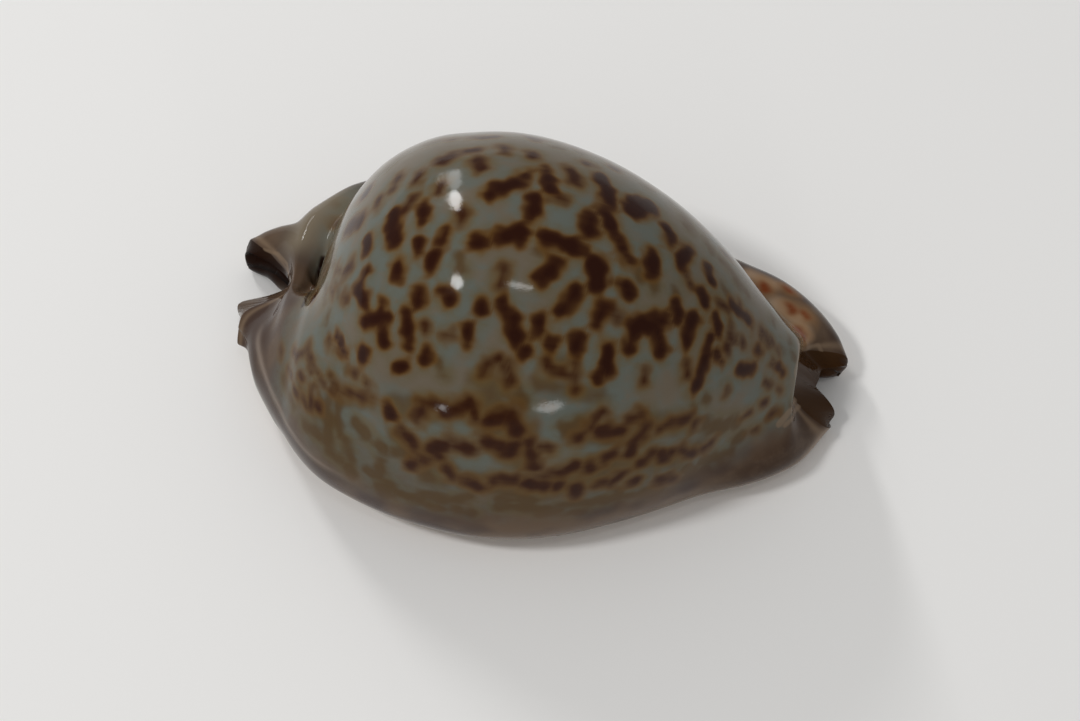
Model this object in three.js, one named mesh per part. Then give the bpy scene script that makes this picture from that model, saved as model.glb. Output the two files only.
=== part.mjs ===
// Cowrie shell, lying on its base with the humped back up. Millimetres, +Z up.
// +X points to the front (siphon) end and +Y to the inner-lip side; the origin lies
// on the resting plane, below the middle of the shell.
// The shell is one rolled-up wall. Its cross-section is an open C: the outer curve runs
// from one lip over the back to the other lip, each lip turns in with a rounded edge,
// and the inner curve runs back round the hollow. Sweeping that C from the rear canal
// to the front canal gives the whole shell, with the toothed aperture left open below.
import * as THREE from "three";

// Driving sizes: where the shell begins and ends along its length.
const REAR = -33.3;
const FRONT = 30.4;
const WALL = 2.2; // thickness of the back
const CALLUS = 2.6; // what the margins and the base have on top of that
const LIP_RADIUS = 2.3;
const BASE_FLOOR = 4.6; // height of the floor inside, above the resting plane

// The toothed part of the aperture.
const TEETH = 22;
const TEETH_REAR = -26.6;
const TEETH_FRONT = 24.6;
const TOOTH_HEIGHT = 0.55; // on the edge of the lip
const FURROW_DEPTH = 0.4; // between the teeth, where they run out over the base
const FURROW_LENGTH = 2.6;

// The rims of the two canals are drawn back from the tips of the lobes. The direction of
// the deepest point is an angle round the heart of the canal, from 0 at the far side over
// the top to 180 degrees at the near side. Spread and power shape the two flanks; the
// third number is the level at which the lobe on that side is foremost, in degrees.
const REAR_NOTCH = { rim: 4.5, roof: 4.5, from: -24.5, deepest: 98, far: [54, 2, -6], near: [42, 5, 21] };
const FRONT_NOTCH = { rim: -3.4, roof: -1.1, from: 24.5, deepest: 98, far: [62, 4, -6], near: [70, 4, -8] };
const CANAL_HEART = 3.0; // height of that point
const NEAR_LOBE_BACK = { rear: 2.1, front: -1.0 }; // the near lobes are the shorter ones
const LOBE_ARC = 1.3; // how far a lobe's edge curves back, 50 degrees from that level
const TIP_ROUNDING = 1.5; // length over which the rims round off at the tips
const TIP_INSET = 0.3;

// How many points the mesh has.
const END_STATIONS = 9;
const STATIONS_PER_TOOTH = 4;
const OUTER_POINTS = 48;
const LIP_POINTS = 5;
const INNER_POINTS = 15;
const CALM_FROM = -18; // between these two the back needs fewer stations
const CALM_TO = 18;
const PIT_TO = -22; // up to here every station is kept

const { sin, cos, abs, sqrt, exp, atan2, PI, min, max, round } = Math;
const degrees = PI / 180;
const clamp = (v, low, high) => min(max(v, low), high);
const step = (from, to, v) => THREE.MathUtils.smoothstep((v - from) / (to - from), 0, 1);
const bell = (v, width) => exp(-((v / width) ** 2));
const mix = (a, b, share) => a + (b - a) * share;

// A smooth curve through hand-set [x, value] points, which never overshoots them.
function profile(...points) {
  const gaps = points.slice(1).map(([x], i) => x - points[i][0]);
  const rises = points.slice(1).map(([, v], i) => (v - points[i][1]) / gaps[i]);
  const slopes = points.map((_, i) => {
    if (i === 0) return rises[0];
    if (i === points.length - 1) return rises[i - 1];
    const [before, after] = [rises[i - 1], rises[i]];
    if (before * after <= 0) return 0;
    const [a, b] = [2 * gaps[i] + gaps[i - 1], gaps[i] + 2 * gaps[i - 1]];
    return (a + b) / (a / before + b / after);
  });
  return (x) => {
    const at = clamp(x, points[0][0], points[points.length - 1][0]);
    let i = 0;
    while (i < gaps.length - 1 && at > points[i + 1][0]) i++;
    const t = (at - points[i][0]) / gaps[i];
    const u = 1 - t;
    return (
      (1 + 2 * t) * u * u * points[i][1] +
      t * u * u * gaps[i] * slopes[i] +
      t * t * (3 - 2 * t) * points[i + 1][1] -
      t * t * u * gaps[i] * slopes[i + 1]
    );
  };
}

// The larger of two lengths, with the corner between them rounded over about k.
function blend(a, b, k) {
  const h = clamp(0.5 + (0.5 * (a - b)) / k, 0, 1);
  return mix(b, a, h) + k * h * (1 - h);
}
const trim = (a, b, k) => -blend(-a, -b, k);

// The flange: the thick margin all round the base, seen in plan and in height.
const flangeFar = profile(
  [REAR, 11], [-31.9, 12.0], [-30, 12.6], [-28.4, 12.9], [-26.4, 15.3], [-22.8, 18.8],
  [-17, 21.0], [-9, 22.0], [-2, 21.8], [6, 20.6], [13, 18.6], [18.5, 16.8], [22.3, 15.6],
  [26.9, 12.6], [29.3, 10.2], [FRONT, 8.4],
);
const flangeNear = profile(
  [REAR, 1.0], [-32.2, -0.4], [-30, -3.4], [-27, -7.6], [-25, -10.1], [-22.7, -12.2],
  [-19.7, -14.2], [-14.6, -16.3], [-10.3, -17.3], [-4, -17.8], [0.3, -17.3], [5.6, -15.5],
  [10.5, -13.1], [15.7, -10.3], [21.5, -8.1], [27, -4.3], [29.2, -1.8], [FRONT, 1],
);
const flangeTopFar = profile(
  [REAR, 6.4], [-30, 8.2], [-27, 9.0], [-23, 8.8], [-16, 9], [0, 9], [15, 8.2], [24, 7.6],
  [27, 7.2], [FRONT, 6],
);
const flangeTopNear = profile(
  [REAR, 6.2], [-30.5, 8.6], [-28, 10.6], [-25, 14], [-22, 17.6], [-18, 19], [-8, 16], [4, 13],
  [12, 12.4], [18, 11.4], [22, 9.6], [26, 7.8], [FRONT, 6],
);
const keelHeight = profile(
  [REAR, 3.2], [-28, 4.6], [-20, 5.4], [-10, 5], [0, 4.7], [15, 4.2], [26, 3.6], [FRONT, 2.8],
);

// The body: the inflated last whorl that makes the back.
const backHeight = profile(
  [-26.5, 5], [-24, 8.6], [-22.5, 14.5], [-20, 20.6], [-16, 26.2], [-11, 29.6], [-5, 31.2],
  [0, 30.8], [6, 29], [12, 25.7], [18, 20.4], [22, 15.2], [25.5, 10.6], [27.5, 9.2], [FRONT, 8.6],
);
const bodyNear = profile(
  [-26.5, 1], [-24.6, -5], [-22, -10], [-18, -14.2], [-12, -17.4], [-4, -18.2], [3, -17.2],
  [10, -14.6], [15, -11.8], [18.5, -8.6], [22, -5], [26, -1.4], [FRONT, -0.2],
);
const bodyFar = profile(
  [-26.5, 7], [-24.4, 9.8], [-22, 13.9], [-18, 18.1], [-12, 20.6], [-4, 21.2], [3, 20.1],
  [10, 17.5], [16, 14], [21, 10.2], [26, 7.4], [FRONT, 6.8],
);
const bodyMiddle = profile(
  [-26.5, 5], [-22, 6.6], [-14, 7.2], [0, 7.6], [12, 7.4], [22, 6], [FRONT, 4],
);

// The aperture: its middle line in plan, and its width.
const apertureLine = profile(
  [REAR, 6.1], [-31, 5.8], [-29, 5], [-27, 4.4], [-15, 1.8], [0, 1], [12, 1.5], [24, 3.2],
  [28, 4.2], [FRONT, 4.9],
);
const apertureWidth = profile(
  [REAR, 6.8], [-31, 5.6], [-29, 4.1], [-27, 3.2], [-20, 2.9], [0, 2.9], [15, 3.5],
  [24, 3.9], [28, 4.2], [FRONT, 5.2],
);

const canalRoof = profile(
  [REAR, 5.3], [-31, 6.4], [-28, 6.8], [-25, 6.4], [0, 6], [24, 5.2], [28, 4.7], [FRONT, 4.3],
);
// The canal is wider than the slot between the lips: this much, on each side.
const canalBulge = profile(
  [REAR, 1], [-31.5, 3.4], [-29, 3.8], [-25, 2], [0, 0], [24, 0.4], [27.5, 0.8], [FRONT, 0.3],
);

// The covered spire is a low swelling beside the rear canal, with a pit at its foot.
// The pit is a slot that runs on as a shallow groove. Each mark is a line in plan from
// one point to another, raised or sunk by rise and fading out over width.
const SPIRE = { from: [-25.6, 10.4], to: [-25.2, 11.6], width: 2.2, rise: 0.6 };
const PIT = { from: [-23.1, 8.3], to: [-23.7, 5.9], width: 0.8, rise: -2.8 };
const GROOVE = { from: [-23.7, 5.9], to: [-24.8, 2.7], width: 0.7, rise: -0.8 };

// How near a point in plan is to such a line: 1 on it and 0 far from it.
function nearLine(x, y, { from: [ax, ay], to: [bx, by], width }) {
  const [alongX, alongY] = [bx - ax, by - ay];
  const share = ((x - ax) * alongX + (y - ay) * alongY) / (alongX ** 2 + alongY ** 2);
  const t = clamp(share, 0, 1);
  return bell(Math.hypot(x - ax - t * alongX, y - ay - t * alongY), width);
}

// Distance from a point inside an ellipse, along the direction (dy, dz), to its edge.
function toEllipse(dy, dz, fromY, fromZ, halfWidth, halfHeight) {
  const a = (dy / halfWidth) ** 2 + (dz / halfHeight) ** 2;
  const b = (dy * fromY) / halfWidth ** 2 + (dz * fromZ) / halfHeight ** 2;
  const c = (fromY / halfWidth) ** 2 + (fromZ / halfHeight) ** 2 - 1;
  return max((-b + sqrt(max(b * b - a * c, 0))) / a, 0);
}

// The teeth are one rounded ridge after another: 1 on a tooth and 0 between two.
function tooth(x) {
  const along = ((x - TEETH_REAR) / (TEETH_FRONT - TEETH_REAR)) * TEETH;
  return 0.5 - 0.5 * cos(2 * PI * along);
}
function ridge(x) {
  return x < TEETH_REAR || x > TEETH_FRONT ? 0 : TOOTH_HEIGHT * tooth(x);
}
function furrowDepth(x) {
  const faded = step(TEETH_REAR, TEETH_REAR + 3, x) * (1 - step(TEETH_FRONT - 3, TEETH_FRONT, x));
  return FURROW_DEPTH * (1 - tooth(x)) * faded;
}

// How much the rims are thinned all round at x, so that the tips are rounded off.
function tipInset(x) {
  const into = max(REAR + TIP_ROUNDING - x, x - FRONT + TIP_ROUNDING, 0) / TIP_ROUNDING;
  return TIP_INSET * (1 - sqrt(1 - min(into, 1) ** 2));
}

// Distance from the middle of the section at x to the outside of the shell. The angle
// is 0 towards the near margin, 90 degrees straight up and 180 towards the far margin.
function outerReach(x, angle) {
  const [dy, dz] = [-cos(angle), sin(angle)];
  const [middle, keel] = [apertureLine(x), keelHeight(x)];
  const halfWidth = dy < 0 ? middle - flangeNear(x) : flangeFar(x) - middle;
  const top = mix(flangeTopNear(x), flangeTopFar(x), step(-0.85, -0.05, dy)) - keel;
  const power = mix(2.1, 2.6, step(-0.85, -0.05, dy));
  const flange =
    dz > 0
      ? ((abs(dy) / halfWidth) ** power + (dz / top) ** power) ** (-1 / power)
      : ((abs(dy) / halfWidth) ** 2.2 + (-dz / (keel * 1.35)) ** 2.2) ** (-1 / 2.2);
  const bodyY = (bodyNear(x) + bodyFar(x)) / 2;
  const bodyHalf = (bodyFar(x) - bodyNear(x)) / 2;
  const bodyZ = bodyMiddle(x);
  const bodyTop = max(backHeight(x) - bodyZ, 0.5);
  const body = toEllipse(dy, dz, middle - bodyY, keel - bodyZ, bodyHalf, bodyTop);
  const nearSide = 1 - step(-0.6, 0.1, dy);
  const softness = 2.4 + nearSide * (0.8 * (1 - step(4, 15, x)) + 4.5 * (1 - step(-22, -12, x)));
  const upper = blend(body, flange, softness);
  let reach = mix(flange, upper, step(-0.7, 0.15, dz));
  if (dz > 0)
    for (const mark of [SPIRE, PIT, GROOVE])
      reach += mark.rise * nearLine(x, middle + reach * dy, mark);
  const inset = tipInset(x);
  const base = dz < -1e-3 ? -(keel - inset) / dz : 1e3;
  const fromLip = abs(base * dy) - apertureWidth(x) / 2 - LIP_RADIUS;
  const furrow = dz < -0.1 ? furrowDepth(x) * (1 - step(0, FURROW_LENGTH, fromLip)) : 0;
  return trim(reach - inset, base, 1.2) - furrow / max(-dz, 0.1);
}

// How far a point of an end section is drawn back along the shell, to open the notch.
function drawnBack(x, y, z, notch, depth) {
  const tip = notch.from < 0 ? REAR : FRONT;
  const t = clamp((x - notch.from) / (tip - notch.from), 0, 1);
  const share = (t < 0.3 ? (t * t) / 0.6 : t - 0.15) / 0.85;
  const [across, up] = [y - apertureLine(x), z - CANAL_HEART];
  const off = atan2(up, across) / degrees - notch.deepest;
  const turn = off < -180 ? off + 360 : off;
  const [spread, power] = turn > 0 ? notch.near : notch.far;
  const foremost = (across < 0 ? notch.near : notch.far)[2];
  const level = atan2(up, abs(across)) / degrees - foremost;
  const arc = Math.sign(depth) * LOBE_ARC * min(abs(level) / 50, 1.1) ** 2;
  return share * (depth * exp(-(abs(turn / spread) ** power)) + arc);
}
function placed(x, y, z, part) {
  const rear = drawnBack(x, y, z, REAR_NOTCH, REAR_NOTCH[part]);
  const front = drawnBack(x, y, z, FRONT_NOTCH, FRONT_NOTCH[part]);
  const offLine = y - apertureLine(x);
  const nearSide = mix(step(0, -2.5, offLine), step(-3, -6, offLine), 0.45);
  const rearLobe = NEAR_LOBE_BACK.rear * step(-28, REAR, x) * nearSide;
  const frontLobe = NEAR_LOBE_BACK.front * step(26, FRONT, x) * nearSide;
  return [x + rear + front + rearLobe + frontLobe, y, z];
}

// One lip's rounded edge, from the base into the aperture. side is -1 near and 1 far.
function lip(x, side, radius, count) {
  const edge = apertureLine(x) + side * (apertureWidth(x) / 2 + radius);
  return Array.from({ length: count }, (_, i) => {
    const turn = mix(-90, 80, (i + 1) / (count + 1)) * degrees;
    const furrow = furrowDepth(x) * (1 - step(-60, 0, turn / degrees));
    const grown = ridge(x) * bell(turn - 10 * degrees, 55 * degrees);
    const r = radius - tipInset(x) + grown - furrow;
    return placed(x, edge - side * r * cos(turn), radius + r * sin(turn), "roof");
  });
}

// The wall of the hollow at x, from the far lip over the roof to the near lip.
function innerCurve(x, nearRadius, farRadius, count) {
  const [middle, keel] = [apertureLine(x), keelHeight(x)];
  const half = apertureWidth(x) / 2;
  const hollow = step(-27.5, -18, x) * (1 - step(20, 28, x));
  const roof = canalRoof(x) + tipInset(x);
  return Array.from({ length: count }, (_, i) => {
    const share = i / (count - 1);
    const foot = 1.7 * mix(farRadius, nearRadius, share);
    const bulge = canalBulge(x) * sin(share * PI) ** 0.7;
    const canalY = middle + (half + tipInset(x) + bulge) * cos(share * PI);
    const canalZ = foot + max(roof - foot, 0.3) * sin(share * PI) ** 0.8;
    const dip = atan2(keel - BASE_FLOOR, half);
    const angle = mix(PI + dip, -dip, share);
    const wall = WALL + CALLUS * (1 - step(-0.2, 0.5, sin(angle)));
    const floor = sin(angle) < -1e-3 ? (BASE_FLOOR - keel) / sin(angle) : 1e3;
    const reach = trim(max(outerReach(x, angle) - wall, half), floor, 0.8);
    const y = mix(canalY, middle - reach * cos(angle), hollow);
    const z = mix(canalZ, keel + reach * sin(angle), hollow);
    return placed(x, y, z, "roof");
  });
}

// The closed C-shaped section at x: outer curve, far lip, inner curve, near lip.
function section(x) {
  const [middle, keel, half] = [apertureLine(x), keelHeight(x), apertureWidth(x) / 2];
  const nearRadius = min(LIP_RADIUS, 0.45 * (middle - half - flangeNear(x)));
  const farRadius = min(LIP_RADIUS, 0.45 * (flangeFar(x) - middle - half));
  const drop = keel - tipInset(x);
  const first = -atan2(drop, half + nearRadius);
  const last = PI + atan2(drop, half + farRadius);
  const outer = Array.from({ length: OUTER_POINTS }, (_, i) => {
    const angle = mix(first, last, i / (OUTER_POINTS - 1));
    const reach = outerReach(x, angle);
    return placed(x, middle - reach * cos(angle), keel + reach * sin(angle), "rim");
  });
  return [
    ...outer,
    ...lip(x, 1, farRadius, LIP_POINTS),
    ...innerCurve(x, nearRadius, farRadius, INNER_POINTS),
    ...lip(x, -1, nearRadius, LIP_POINTS).reverse(),
  ];
}

// Where the sections stand: closer together towards the tips, and four to a tooth.
function stations() {
  const ease = (i) => sin((i / END_STATIONS) * (PI / 2));
  const along = TEETH * STATIONS_PER_TOOTH;
  return [
    ...Array.from({ length: END_STATIONS }, (_, i) => mix(TEETH_REAR, REAR, ease(END_STATIONS - i))),
    ...Array.from({ length: along + 1 }, (_, i) => mix(TEETH_REAR, TEETH_FRONT, i / along)),
    ...Array.from({ length: END_STATIONS }, (_, i) => mix(TEETH_FRONT, FRONT, ease(i + 1))),
  ];
}

// Triangles between two lines of vertices: the line whose next vertex comes first by
// its key moves on. Both lines may have their own spacing.
function zip(lineA, lineB, keyA, keyB, triangles) {
  let [a, b] = [0, 0];
  while (a < lineA.length - 1 || b < lineB.length - 1) {
    const nextA = a < lineA.length - 1 ? keyA(a + 1) : Infinity;
    const nextB = b < lineB.length - 1 ? keyB(b + 1) : Infinity;
    if (nextA <= nextB) {
      triangles.push(lineA[a], lineB[b], lineA[a + 1]);
      a++;
    } else {
      triangles.push(lineA[a], lineB[b], lineB[b + 1]);
      b++;
    }
  }
}

function shellGeometry() {
  const xs = stations();
  const sections = xs.map(section);
  const perSection = sections[0].length;
  const vertex = (i, j) => i * perSection + j;
  const triangles = [];

  // The lips keep every station. The back and the hollow need fewer between the canals.
  const onLip = (j) =>
    j < 3 || (j >= OUTER_POINTS - 3 && j < OUTER_POINTS + LIP_POINTS + 1) ||
    j >= OUTER_POINTS + LIP_POINTS + INNER_POINTS - 1;
  const lastEnd = xs.length - 1 - END_STATIONS;
  const kept = (i, j) => {
    if (onLip(j) || i < END_STATIONS || i > lastEnd || xs[i] < PIT_TO) return true;
    const every = xs[i] > CALM_FROM && xs[i] < CALM_TO ? STATIONS_PER_TOOTH : 2;
    return (i - END_STATIONS) % every === 0;
  };
  const columns = Array.from({ length: perSection }, (_, j) =>
    xs.map((_, i) => i).filter((i) => kept(i, j)),
  );
  for (let j = 0; j < perSection; j++) {
    const k = (j + 1) % perSection;
    const [here, next] = [columns[j], columns[k]];
    zip(
      next.map((i) => vertex(i, k)), here.map((i) => vertex(i, j)),
      (n) => next[n], (n) => here[n], triangles,
    );
  }

  // Each end is closed by a band between the outer curve and the rest of its section,
  // matched by how far round both are.
  const outer = Array.from({ length: OUTER_POINTS }, (_, j) => j);
  const rest = Array.from({ length: perSection - OUTER_POINTS }, (_, n) => perSection - 1 - n);
  const lastOuter = OUTER_POINTS - 1;
  const lastRest = rest.length - 1;
  const outerKey = (n) => n / lastOuter;
  const restKey = (n) => {
    if (n < LIP_POINTS) return (0.14 * n) / LIP_POINTS;
    if (n > lastRest - LIP_POINTS) return 1 - (0.14 * (lastRest - n)) / LIP_POINTS;
    return mix(0.14, 0.86, (n - LIP_POINTS) / (INNER_POINTS - 1));
  };
  const at = (i) => (j) => vertex(i, j);
  const last = xs.length - 1;
  zip(rest.map(at(0)), outer.map(at(0)), restKey, outerKey, triangles);
  zip(outer.map(at(last)), rest.map(at(last)), outerKey, restKey, triangles);

  const used = [...new Set(triangles)];
  const place = new Map(used.map((v, n) => [v, n]));
  const positions = used.flatMap((v) => sections[(v / perSection) | 0][v % perSection]);
  const geometry = new THREE.BufferGeometry();
  geometry.setAttribute("position", new THREE.Float32BufferAttribute(positions, 3));
  geometry.setIndex(triangles.map((v) => place.get(v)));
  geometry.computeBoundingBox();
  const { min: low, max: high } = geometry.boundingBox;
  geometry.translate(-(low.x + high.x) / 2, -(low.y + high.y) / 2, -low.z);
  geometry.computeVertexNormals();
  return geometry;
}

const enamel = new THREE.MeshStandardMaterial({ color: 0x6d6f68, roughness: 0.2, metalness: 0 });
const shell = new THREE.Mesh(shellGeometry(), enamel);
shell.name = "shell";

const cowrie = new THREE.Group();
cowrie.add(shell);
export default cowrie;
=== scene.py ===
import math

import bpy
import numpy as np
from mathutils import Matrix, Vector
from mathutils.bvhtree import BVHTree


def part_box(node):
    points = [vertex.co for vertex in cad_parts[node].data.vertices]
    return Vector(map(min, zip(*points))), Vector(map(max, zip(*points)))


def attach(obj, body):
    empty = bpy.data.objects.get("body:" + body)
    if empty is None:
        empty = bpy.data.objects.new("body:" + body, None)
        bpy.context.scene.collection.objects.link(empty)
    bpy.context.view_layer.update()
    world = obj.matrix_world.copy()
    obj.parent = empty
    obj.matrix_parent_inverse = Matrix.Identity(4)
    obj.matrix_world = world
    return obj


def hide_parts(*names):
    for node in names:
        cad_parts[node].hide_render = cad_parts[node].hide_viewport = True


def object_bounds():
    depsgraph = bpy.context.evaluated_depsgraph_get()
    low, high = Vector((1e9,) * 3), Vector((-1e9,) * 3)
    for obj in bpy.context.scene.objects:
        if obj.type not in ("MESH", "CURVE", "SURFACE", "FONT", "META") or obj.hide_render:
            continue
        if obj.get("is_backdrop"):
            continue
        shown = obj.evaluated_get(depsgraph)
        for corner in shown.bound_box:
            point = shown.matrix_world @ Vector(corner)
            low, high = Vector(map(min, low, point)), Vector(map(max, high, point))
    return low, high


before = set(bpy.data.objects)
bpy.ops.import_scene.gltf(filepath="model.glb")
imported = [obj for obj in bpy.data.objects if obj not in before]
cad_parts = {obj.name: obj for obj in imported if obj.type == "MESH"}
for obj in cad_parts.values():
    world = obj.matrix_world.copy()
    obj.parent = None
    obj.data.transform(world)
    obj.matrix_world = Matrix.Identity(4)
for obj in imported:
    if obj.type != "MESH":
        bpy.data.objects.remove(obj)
solid_low, solid_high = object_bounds()

# The camera stands where the photographer stood: to the front of the shell and well
# above it, looking at the back from 60 degrees up and turned 10 degrees.
MM = 0.001
PHOTO_WIDTH = 1080
PHOTO_HEIGHT = 721
PIXELS_PER_MM = 10.15
CAMERA_AZIMUTH = math.radians(10)
CAMERA_ELEVATION = math.radians(60)
CAMERA_DISTANCE = 260  # mm
LOOKED_AT = Vector((1.45, -1.85, 12))  # mm, this point shows at the pixel below
LOOKED_AT_PIXEL = (541, 340)

link = bpy.context.scene.collection.objects.link
camera_back = Vector(
    (
        math.sin(CAMERA_AZIMUTH) * math.cos(CAMERA_ELEVATION),
        -math.cos(CAMERA_AZIMUTH) * math.cos(CAMERA_ELEVATION),
        math.sin(CAMERA_ELEVATION),
    )
)
camera_right = Vector((math.cos(CAMERA_AZIMUTH), math.sin(CAMERA_AZIMUTH), 0))
camera_up = camera_back.cross(camera_right)
focal_pixels = PIXELS_PER_MM * CAMERA_DISTANCE
camera_place = (
    LOOKED_AT
    + camera_back * CAMERA_DISTANCE
    - camera_right * (LOOKED_AT_PIXEL[0] - PHOTO_WIDTH / 2) / PIXELS_PER_MM
    + camera_up * (LOOKED_AT_PIXEL[1] - PHOTO_HEIGHT / 2) / PIXELS_PER_MM
)
camera_data = bpy.data.cameras.new("camera")
camera_data.sensor_width = 36
camera_data.lens = focal_pixels / PHOTO_WIDTH * camera_data.sensor_width
camera_data.clip_start = 0.01
camera = bpy.data.objects.new("camera", camera_data)
camera.matrix_world = Matrix(
    [[camera_right[i], camera_up[i], camera_back[i], camera_place[i] * MM] for i in range(3)]
    + [[0, 0, 0, 1]]
)
link(camera)
bpy.context.scene.camera = camera


def pixel_ray(x, y):
    """The direction, from the camera, of what shows at a pixel of the photo."""
    sideways = camera_right * (x - PHOTO_WIDTH / 2) / focal_pixels
    upward = camera_up * (PHOTO_HEIGHT / 2 - y) / focal_pixels
    return (sideways + upward - camera_back).normalized()


# The shell is one rolled-up wall of aragonite that the animal laid down from inside and
# then glazed. Its section is an open C round the hollow; swept from the rear canal to
# the front canal it gives the back, the thick margins, the base and both lips.
REAR = -33.3  # mm, like all lengths of this section
FRONT = 30.4
WALL = 2.2  # on the back
CALLUS = 2.6  # what the base and the margins have on top of the wall
LIP_RADIUS = 2.3
BASE_FLOOR = 4.6  # height of the hollow's floor
CANAL_HEART = 3.0  # height of the point that the notches turn round
TIP_ROUNDING = 1.5
TIP_INSET = 0.3
TEETH_REAR = -26.6
TEETH_FRONT = 24.6
FURROW_LENGTH = 2.6
REAR_NOTCH = dict(rim=4.5, roof=4.5, start=-24.5, tip=REAR, far=(54, 2, -6), near=(42, 5, 21))
FRONT_NOTCH = dict(rim=-3.4, roof=-1.1, start=24.5, tip=FRONT, far=(62, 4, -6), near=(70, 4, -8))
DEEPEST = 98  # degrees, where round the canal both notches are deepest
LOBE_ARC = 1.3
LIP_SHARE = 0.14  # what one lip takes up of the way round an end
NEAR_LOBE_REAR = 2.1
NEAR_LOBE_FRONT = -1.0
STRAIGHT_DOWN = -1e-3  # a way round the section counts as downward below this
BASE_EDGE = 1.2  # rounding between the sides and the base
NEVER = 1e3  # mm, further than any wall
STATIONS_PER_TOOTH = 11
TEETH = 22
END_STATIONS = 40
OUTER_POINTS = 190
LIP_POINTS = 12
INNER_POINTS = 40


def step(start, end, v):
    """0 before start, 1 after end, and a smooth change between."""
    t = np.clip((v - start) / (end - start), 0, 1)
    return t * t * (3 - 2 * t)


def mix(a, b, share):
    return a + (b - a) * share


def bell(v, width):
    return np.exp(-((v / width) ** 2))


def profile(*points):
    """A smooth curve through given (x, value) points, which never overshoots them."""
    x, v = np.array(points, float).T
    gaps = np.diff(x)
    rises = np.diff(v) / gaps
    slopes = np.empty(len(x))
    slopes[0], slopes[-1] = rises[0], rises[-1]
    for i in range(1, len(x) - 1):
        before, after = rises[i - 1], rises[i]
        a, b = 2 * gaps[i] + gaps[i - 1], gaps[i] + 2 * gaps[i - 1]
        slopes[i] = 0 if before * after <= 0 else (a + b) / (a / before + b / after)

    def value(at):
        at = np.clip(at, x[0], x[-1])
        i = np.clip(np.searchsorted(x, at, side="left") - 1, 0, len(gaps) - 1)
        t = (at - x[i]) / gaps[i]
        u = 1 - t
        rising = t * t * (3 - 2 * t) * v[i + 1] - t * t * u * gaps[i] * slopes[i + 1]
        return (1 + 2 * t) * u * u * v[i] + t * u * u * gaps[i] * slopes[i] + rising

    return value


def blend(a, b, k):
    """The larger of two lengths, with the corner between them rounded over about k."""
    h = np.clip(0.5 + 0.5 * (a - b) / k, 0, 1)
    return mix(b, a, h) + k * h * (1 - h)


flange_far = profile(
    (REAR, 11), (-31.9, 12), (-30, 12.6), (-28.4, 12.9), (-26.4, 15.3), (-22.8, 18.8),
    (-17, 21), (-9, 22), (-2, 21.8), (6, 20.6), (13, 18.6), (18.5, 16.8), (22.3, 15.6),
    (26.9, 12.6), (29.3, 10.2), (FRONT, 8.4),
)
flange_near = profile(
    (REAR, 1), (-32.2, -0.4), (-30, -3.4), (-27, -7.6), (-25, -10.1), (-22.7, -12.2),
    (-19.7, -14.2), (-14.6, -16.3), (-10.3, -17.3), (-4, -17.8), (0.3, -17.3), (5.6, -15.5),
    (10.5, -13.1), (15.7, -10.3), (21.5, -8.1), (27, -4.3), (29.2, -1.8), (FRONT, 1),
)
flange_top_far = profile(
    (REAR, 6.4), (-30, 8.2), (-27, 9), (-23, 8.8), (-16, 9), (0, 9), (15, 8.2), (24, 7.6),
    (27, 7.2), (FRONT, 6),
)
flange_top_near = profile(
    (REAR, 6.2), (-30.5, 8.6), (-28, 10.6), (-25, 14), (-22, 17.6), (-18, 19), (-8, 16), (4, 13),
    (12, 12.4), (18, 11.4), (22, 9.6), (26, 7.8), (FRONT, 6),
)
keel_height = profile(
    (REAR, 3.2), (-28, 4.6), (-20, 5.4), (-10, 5), (0, 4.7), (15, 4.2), (26, 3.6), (FRONT, 2.8),
)
back_height = profile(
    (-26.5, 5), (-24, 8.6), (-22.5, 14.5), (-20, 20.6), (-16, 26.2), (-11, 29.6), (-5, 31.2),
    (0, 30.8), (6, 29), (12, 25.7), (18, 20.4), (22, 15.2), (25.5, 10.6), (27.5, 9.2), (FRONT, 8.6),
)
body_near = profile(
    (-26.5, 1), (-24.6, -5), (-22, -10), (-18, -14.2), (-12, -17.4), (-4, -18.2), (3, -17.2),
    (10, -14.6), (15, -11.8), (18.5, -8.6), (22, -5), (26, -1.4), (FRONT, -0.2),
)
body_far = profile(
    (-26.5, 7), (-24.4, 9.8), (-22, 13.9), (-18, 18.1), (-12, 20.6), (-4, 21.2), (3, 20.1),
    (10, 17.5), (16, 14), (21, 10.2), (26, 7.4), (FRONT, 6.8),
)
body_middle = profile(
    (-26.5, 5), (-22, 6.6), (-14, 7.2), (0, 7.6), (12, 7.4), (22, 6), (FRONT, 4),
)
aperture_line = profile(
    (REAR, 6.1), (-31, 5.8), (-29, 5), (-27, 4.4), (-15, 1.8), (0, 1), (12, 1.5), (24, 3.2),
    (28, 4.2), (FRONT, 4.9),
)
aperture_width = profile(
    (REAR, 6.8), (-31, 5.6), (-29, 4.1), (-27, 3.2), (-20, 2.9), (0, 2.9), (15, 3.5),
    (24, 3.9), (28, 4.2), (FRONT, 5.2),
)
canal_roof = profile(
    (REAR, 5.3), (-31, 6.4), (-28, 6.8), (-25, 6.4), (0, 6), (24, 5.2), (28, 4.7), (FRONT, 4.3),
)
canal_bulge = profile(
    (REAR, 1), (-31.5, 3.4), (-29, 3.8), (-25, 2), (0, 0), (24, 0.4), (27.5, 0.8), (FRONT, 0.3),
)
# The covered spire is a low swelling beside the rear canal, with a slot at its foot that
# runs on as a shallow groove. Each is a line in plan, raised or sunk by rise.
SPIRE_MARKS = [
    dict(start=(-25.6, 10.4), end=(-25.2, 11.6), width=2.2, rise=0.6),
    dict(start=(-23.1, 8.3), end=(-23.7, 5.9), width=0.8, rise=-2.8),
    dict(start=(-23.7, 5.9), end=(-24.8, 2.7), width=0.7, rise=-0.8),
]


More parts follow.
